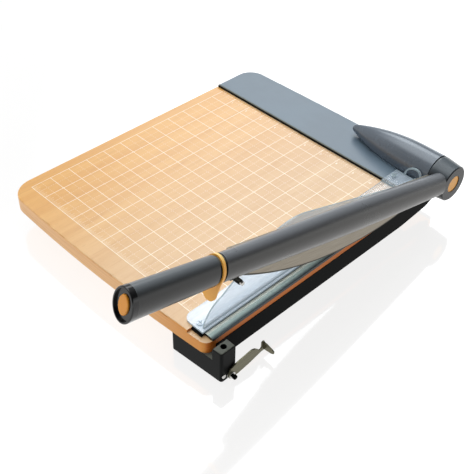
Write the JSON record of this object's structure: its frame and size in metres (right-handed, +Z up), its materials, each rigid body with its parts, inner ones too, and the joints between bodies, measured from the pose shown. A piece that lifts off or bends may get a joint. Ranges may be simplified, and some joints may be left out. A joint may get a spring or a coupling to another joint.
{
  "type": "guillotine paper cutter",
  "caption": "Guillotine paper cutter: ruled wooden bed, long hinged arm with a curved blade, clear blade guard, rear pivot housing and a hook latch at the front foot.",
  "frame": {"origin": "middle of the overall bounding box, on the floor under the feet, arm at rest", "axes": "+X to the cutting side, +Y from the operator to the pivot, +Z up"},
  "size_m": [0.3562, 0.4916, 0.194],
  "materials": {
    "wood": "satin lacquer",
    "cover_paint": "satin",
    "housing_plastic": "fine texture",
    "arm_plastic": "satin",
    "grip_rubber": "soft satin",
    "gloss_black": "gloss",
    "orange": "satin",
    "blade_steel": "ground",
    "bed_steel": "ground",
    "zinc_steel": "zinc plated",
    "bright_steel": "polished",
    "dark_steel": "brushed",
    "black_steel": "satin",
    "black_plastic": "moulded",
    "rubber": "matt",
    "bronze": "sintered",
    "clear_acrylic": "polished"
  },
  "bodies": {
    "base": {"base_board": "wood", "paper_stop": "black_plastic", "rear_cover": "cover_paint", "pivot_housing": "housing_plastic", "pivot_bracket": "zinc_steel", "bracket_screws": "zinc_steel", "pivot_bolt": "zinc_steel", "spacer_sleeve": "zinc_steel", "pivot_washers": "zinc_steel", "pressure_spring": "bright_steel", "lock_nut": "zinc_steel", "lower_blade": "bed_steel", "bed_plate": "black_steel", "side_rail": "black_steel", "bed_screws": "zinc_steel", "front_foot": "black_plastic", "front_foot_screws": "zinc_steel", "rear_foot": "black_plastic", "rear_foot_screws": "zinc_steel", "front_bumper": "rubber", "rear_bumper": "rubber", "bumper_screws": "zinc_steel", "foot_pads": "rubber", "cover_screws": "zinc_steel", "blade_guard": "clear_acrylic", "guard_spacers": "clear_acrylic", "guard_screws": "clear_acrylic", "latch_screw": "black_steel", "latch_rivet": "bright_steel", "latch_washers": "bright_steel"},
    "arm": {"hub": "housing_plastic", "hub_bush": "bronze", "hub_cap": "orange", "arm_tube": "arm_plastic", "arm_core": "zinc_steel", "core_pin": "zinc_steel", "upper_blade": "blade_steel", "blade_screws": "zinc_steel", "finger_ring": "orange", "ring_collars": "black_plastic", "grip_sleeve": "grip_rubber", "end_cap": "gloss_black", "end_insert": "orange", "latch_pin": "bright_steel", "latch_pin_sleeve": "black_plastic"},
    "latch": {"latch_arm": "dark_steel"}
  },
  "joints": [
    {"name": "arm_hinge", "type": "hinge", "parent": "base", "child": "arm", "pos_m": [0.15865, 0.22184, 0.053], "axis": [-1, 0, 0], "range_deg": [-12.94, 40]},
    {"name": "latch_hinge", "type": "hinge", "parent": "base", "child": "latch", "pos_m": [0.16475, -0.12746, 0.0055], "axis": [1, 0, 0], "range_deg": [-3, 73]}
  ]
}
